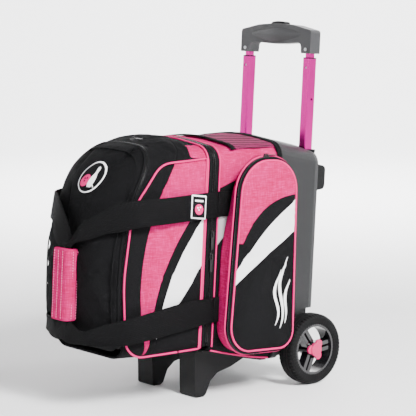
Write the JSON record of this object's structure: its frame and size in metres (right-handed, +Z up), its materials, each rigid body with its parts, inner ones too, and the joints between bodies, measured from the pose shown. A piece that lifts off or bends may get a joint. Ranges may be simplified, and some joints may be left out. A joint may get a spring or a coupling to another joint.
{
  "type": "bowling ball bag",
  "caption": "Wheeled bag for a bowling ball with a hard back shell, hinged shoe lid, side pockets, carry straps and a telescoping handle.",
  "frame": {"origin": "middle of the footprint on the floor, at the bottom centre of the whole object", "axes": "+Z up, +Y towards the handle and wheels, +X to the bag's side that a viewer in front and to the right sees"},
  "size_m": [0.3084, 0.5298, 0.644],
  "materials": {
    "pink_fabric": "heather woven polyester",
    "black_fabric": "woven polyester",
    "mesh": "open mesh over pink lining",
    "webbing": "ribbed webbing",
    "zip_tape": "coil zipper tape",
    "shell_plastic": "grained moulded plastic",
    "black_plastic": "moulded plastic",
    "gloss_black": "glossy moulded plastic",
    "gloss_pink": "glossy moulded plastic",
    "tyre_rubber": "solid urethane tread",
    "pink_aluminium": "anodised",
    "steel": "zinc plated",
    "foam": "closed-cell foam",
    "slider_metal": "black lacquered"
  },
  "bodies": {
    "bag": {"back_shell": "shell_plastic", "rear_bumper": "black_plastic", "base_plate": "black_plastic", "foot_right": "black_plastic", "foot_left": "black_plastic", "foot_screws": "steel", "axle": "steel", "axle_housing": "black_plastic", "axle_spacers": "steel", "rear_body": "pink_fabric", "back_liner": "black_fabric", "ball_cup": "foam", "top_mesh": "mesh", "rear_binding": "black_fabric", "main_zip_rear": "zip_tape", "gusset_right": "pink_fabric", "gusset_left": "pink_fabric", "strap_anchors": "webbing", "outer_tubes": "steel", "tube_collars": "black_plastic"},
    "lid": {"lid_shell": "pink_fabric", "divider_panel": "black_fabric", "main_zip_front": "zip_tape", "front_zip_lid": "zip_tape"},
    "front_flap": {"front_flap": "black_fabric", "front_zip_flap": "zip_tape"},
    "side_flap_right": {"side_flap_right": "pink_fabric", "side_zip_right": "zip_tape"},
    "side_flap_left": {"side_flap_left": "pink_fabric", "side_zip_left": "zip_tape"},
    "strap_right": {"strap_right": "webbing", "grip_wrap": "pink_fabric"},
    "strap_left": {"strap_left": "webbing"},
    "handle_mid": {"mid_tubes": "pink_aluminium", "mid_collars": "black_plastic"},
    "handle_top": {"inner_tubes": "pink_aluminium", "detent_buttons": "steel", "grip_front": "black_plastic", "grip_rear": "black_plastic", "grip_screws": "steel", "button_spring": "steel"},
    "handle_button": {"handle_button": "black_plastic"},
    "wheel_right": {"tyre_right": "tyre_rubber", "rim_right": "gloss_black", "cap_right": "gloss_pink"},
    "wheel_left": {"tyre_left": "tyre_rubber", "rim_left": "gloss_black", "cap_left": "gloss_pink"},
    "main_slider_upper": {"main_slider_upper": "slider_metal"},
    "main_slider_lower": {"main_slider_lower": "slider_metal"},
    "main_pull_upper": {"main_pull_upper": "slider_metal"},
    "main_pull_lower": {"main_pull_lower": "slider_metal"},
    "front_slider": {"front_slider": "slider_metal"},
    "front_pull": {"front_pull": "slider_metal"},
    "side_slider_right": {"side_slider_right": "slider_metal"},
    "side_slider_left": {"side_slider_left": "slider_metal"},
    "side_pull_right": {"side_pull_right": "slider_metal"},
    "side_pull_left": {"side_pull_left": "slider_metal"}
  },
  "joints": [
    {"name": "lid_open", "type": "hinge", "parent": "bag", "child": "lid", "pos_m": [0, -0.03857, 0.08883], "axis": [1, 0, 0], "range_deg": [0, 26]},
    {"name": "front_flap_open", "type": "hinge", "parent": "lid", "child": "front_flap", "pos_m": [0, -0.19764, 0.10657], "axis": [1, 0, 0], "range_deg": [0, 26.1]},
    {"name": "strap_right_swing", "type": "hinge", "parent": "bag", "child": "strap_right", "pos_m": [0.126, -0.0223, 0.25414], "axis": [0, 0.061, 0.9981], "range_deg": [0, 104.5]},
    {"name": "strap_left_swing", "type": "hinge", "parent": "bag", "child": "strap_left", "pos_m": [-0.126, -0.0223, 0.25414], "axis": [0, 0.061, 0.9981], "range_deg": [-104.5, 0]},
    {"name": "side_flap_right_open", "type": "hinge", "parent": "bag", "child": "side_flap_right", "pos_m": [0.1452, 0.14738, 0.24377], "axis": [0, 0.061, 0.9981], "range_deg": [0, 95]},
    {"name": "side_flap_left_open", "type": "hinge", "parent": "bag", "child": "side_flap_left", "pos_m": [-0.1452, 0.14738, 0.24377], "axis": [0, 0.061, 0.9981], "range_deg": [-95, 0]},
    {"name": "handle_mid_slide", "type": "slide", "parent": "bag", "child": "handle_mid", "axis": [0, 0.061, 0.9981], "range_m": [-0.16, 0.07]},
    {"name": "handle_top_slide", "type": "slide", "parent": "handle_mid", "child": "handle_top", "axis": [0, 0.061, 0.9981], "range_m": [-0.006, 0.24]},
    {"name": "button_press", "type": "slide", "parent": "handle_top", "child": "handle_button", "axis": [0, 0.061, 0.9981], "range_m": [-0.0035, 0], "stiffness_N_per_m": 300, "deforming": ["button_spring"]},
    {"name": "wheel_right_spin", "type": "hinge", "parent": "bag", "child": "wheel_right", "pos_m": [0.124, 0.2016, 0.0635], "axis": [1, 0, 0], "continuous": true},
    {"name": "wheel_left_spin", "type": "hinge", "parent": "bag", "child": "wheel_left", "pos_m": [-0.124, 0.2016, 0.0635], "axis": [1, 0, 0], "continuous": true},
    {"name": "main_slider_upper_slide", "type": "slide", "parent": "bag", "child": "main_slider_upper", "axis": [0, 0.061, 0.9981], "range_m": [-0.002, 0.022]},
    {"name": "main_slider_lower_slide", "type": "slide", "parent": "bag", "child": "main_slider_lower", "axis": [0, 0.061, 0.9981], "range_m": [-0.038, 0.003]},
    {"name": "main_pull_upper_swing", "type": "hinge", "parent": "main_slider_upper", "child": "main_pull_upper", "pos_m": [0.1232, -0.02609, 0.29044], "axis": [0, -0.9981, 0.061], "range_deg": [0, 60]},
    {"name": "main_pull_lower_swing", "type": "hinge", "parent": "main_slider_lower", "child": "main_pull_lower", "pos_m": [0.1232, -0.02841, 0.25251], "axis": [0, -0.9981, 0.061], "range_deg": [0, 60]},
    {"name": "front_slider_slide", "type": "slide", "parent": "lid", "child": "front_slider", "axis": [1, 0, 0], "range_m": [-0.09, 0.02]},
    {"name": "front_pull_swing", "type": "hinge", "parent": "front_slider", "child": "front_pull", "pos_m": [0.03, -0.12139, 0.45226], "axis": [0, -0.9981, 0.061], "range_deg": [0, 60]},
    {"name": "side_slider_right_travel", "type": "hinge", "parent": "bag", "child": "side_slider_right", "pos_m": [0.1449, 0.07045, 0.35367], "axis": [1, 0, 0], "range_deg": [0, 80]},
    {"name": "side_slider_left_travel", "type": "hinge", "parent": "bag", "child": "side_slider_left", "pos_m": [-0.1449, 0.07045, 0.35367], "axis": [1, 0, 0], "range_deg": [0, 80]},
    {"name": "side_pull_right_swing", "type": "hinge", "parent": "side_slider_right", "child": "side_pull_right", "pos_m": [0.1449, 0.07452, 0.42024], "axis": [1, 0, 0], "range_deg": [0, 60]},
    {"name": "side_pull_left_swing", "type": "hinge", "parent": "side_slider_left", "child": "side_pull_left", "pos_m": [-0.1449, 0.07452, 0.42024], "axis": [1, 0, 0], "range_deg": [0, 60]}
  ],
  "couplings": [
    {"joint": "front_flap_open", "follows": "lid_open", "ratio": 1},
    {"joint": "strap_right_swing", "follows": "lid_open", "ratio": 4},
    {"joint": "strap_left_swing", "follows": "lid_open", "ratio": -4}
  ]
}
